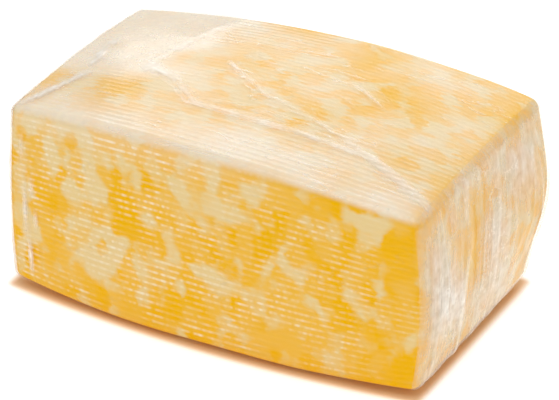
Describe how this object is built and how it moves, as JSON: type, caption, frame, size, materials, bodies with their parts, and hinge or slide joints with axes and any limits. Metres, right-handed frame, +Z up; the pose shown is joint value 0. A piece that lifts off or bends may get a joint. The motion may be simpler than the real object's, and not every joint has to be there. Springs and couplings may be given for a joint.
{
  "type": "marble cheese block",
  "caption": "Rectangular block of orange and cream marbled cheese with softly swollen sides and fine lengthwise ribs, wrapped in tight clear stretch film that is gathered at the ends.",
  "frame": {"origin": "on the table, under the middle of the wrapped block's outer size", "axes": "+X along the block towards the end whose gathered film shows, +Z up, -Y towards the long side that shows"},
  "size_m": [0.1536, 0.0956, 0.0726],
  "materials": {
    "cheese": "semi-firm marbled cheese, orange curds pressed together with cream ones",
    "film": "clear stretch film, glossy, crinkled and milky where it lies in several layers"
  },
  "bodies": {
    "root": {"wrapped_cheese_block": "cheese"}
  },
  "joints": []
}
